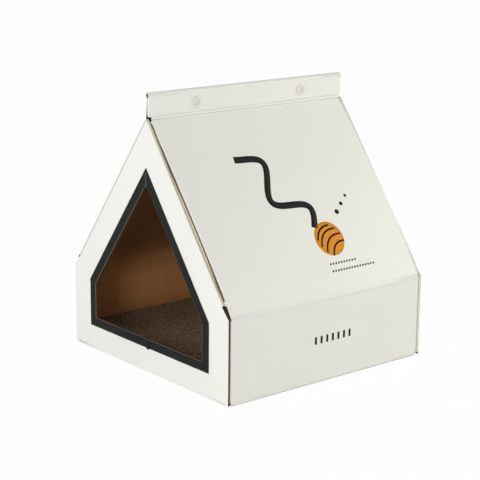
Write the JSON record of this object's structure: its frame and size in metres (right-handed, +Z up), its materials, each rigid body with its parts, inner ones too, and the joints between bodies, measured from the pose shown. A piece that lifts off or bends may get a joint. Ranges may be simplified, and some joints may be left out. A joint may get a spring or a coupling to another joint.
{
  "type": "cardboard cat house with scratcher floor",
  "caption": "Folding corrugated-board cat house with a pitched roof, a ridge fin closed by snap rivets, a bound doorway and a scratcher pad on the floor.",
  "frame": {"origin": "middle of the base, on the surface that the house stands on", "axes": "+Z up, -Y towards the doorway, +X to the right as seen from the doorway"},
  "size_m": [0.392, 0.3921, 0.43],
  "materials": {
    "coated_board": "white coated outside, brown kraft inside",
    "black_edging": "matt black cloth-faced strip",
    "corrugated_pad": "raw corrugated strips on edge",
    "clear_plastic": "translucent milky plastic"
  },
  "bodies": {
    "floor": {"floor_panel": "coated_board"},
    "right_side": {"right_wall": "coated_board"},
    "left_side": {"left_wall": "coated_board"},
    "right_slope": {"right_roof": "coated_board"},
    "left_slope": {"left_roof": "coated_board"},
    "right_ridge": {"right_fin": "coated_board"},
    "ridge_cap": {"cap_strip": "coated_board"},
    "left_ridge": {"left_fin": "coated_board"},
    "front_gable": {"front_panel": "coated_board", "doorway_edging": "black_edging"},
    "rear_gable": {"rear_panel": "coated_board"},
    "scratcher": {"scratcher_pad": "corrugated_pad"},
    "stud_front": {"rivet_stud_front": "clear_plastic"},
    "stud_rear": {"rivet_stud_rear": "clear_plastic"},
    "cap_front": {"rivet_cap_front": "clear_plastic"},
    "cap_rear": {"rivet_cap_rear": "clear_plastic"}
  },
  "joints": [
    {"name": "right_wall_fold", "type": "hinge", "parent": "floor", "child": "right_side", "pos_m": [0.19454, 0, 0.00146], "axis": [0, 1, 0], "range_deg": [0, 90]},
    {"name": "left_wall_fold", "type": "hinge", "parent": "floor", "child": "left_side", "pos_m": [-0.19454, 0, 0.00146], "axis": [0, -1, 0], "range_deg": [0, 90]},
    {"name": "right_roof_fold", "type": "hinge", "parent": "right_side", "child": "right_slope", "pos_m": [0.19557, 0, 0.13136], "axis": [0, 1, 0], "range_deg": [0, 36]},
    {"name": "left_roof_fold", "type": "hinge", "parent": "left_side", "child": "left_slope", "pos_m": [-0.19557, 0, 0.13136], "axis": [0, -1, 0], "range_deg": [0, 36]},
    {"name": "right_fin_fold", "type": "hinge", "parent": "right_slope", "child": "right_ridge", "pos_m": [0.00373, 0, 0.38903], "axis": [0, 1, 0], "range_deg": [0, 35]},
    {"name": "left_fin_fold", "type": "hinge", "parent": "left_slope", "child": "left_ridge", "pos_m": [-0.00373, 0, 0.38903], "axis": [0, -1, 0], "range_deg": [0, 35]},
    {"name": "front_panel_fold", "type": "hinge", "parent": "floor", "child": "front_gable", "pos_m": [0, -0.19409, 0.00146], "axis": [1, 0, 0], "range_deg": [0, 90]},
    {"name": "rear_panel_fold", "type": "hinge", "parent": "floor", "child": "rear_gable", "pos_m": [0, 0.19409, 0.00146], "axis": [-1, 0, 0], "range_deg": [0, 90]},
    {"name": "scratcher_lift", "type": "slide", "parent": "floor", "child": "scratcher", "axis": [0, 0, 1], "range_m": [0, 0.06]},
    {"name": "cap_strip_fold", "type": "hinge", "parent": "right_ridge", "child": "ridge_cap", "pos_m": [0.00219, 0, 0.42854], "axis": [0, 1, 0], "range_deg": [0, 90]},
    {"name": "stud_front_pull", "type": "slide", "parent": "right_ridge", "child": "stud_front", "axis": [1, 0, 0], "range_m": [0, 0.03]},
    {"name": "stud_rear_pull", "type": "slide", "parent": "right_ridge", "child": "stud_rear", "axis": [1, 0, 0], "range_m": [0, 0.03]},
    {"name": "cap_front_pull", "type": "slide", "parent": "left_ridge", "child": "cap_front", "axis": [-1, 0, 0], "range_m": [0, 0.03]},
    {"name": "cap_rear_pull", "type": "slide", "parent": "left_ridge", "child": "cap_rear", "axis": [-1, 0, 0], "range_m": [0, 0.03]}
  ]
}
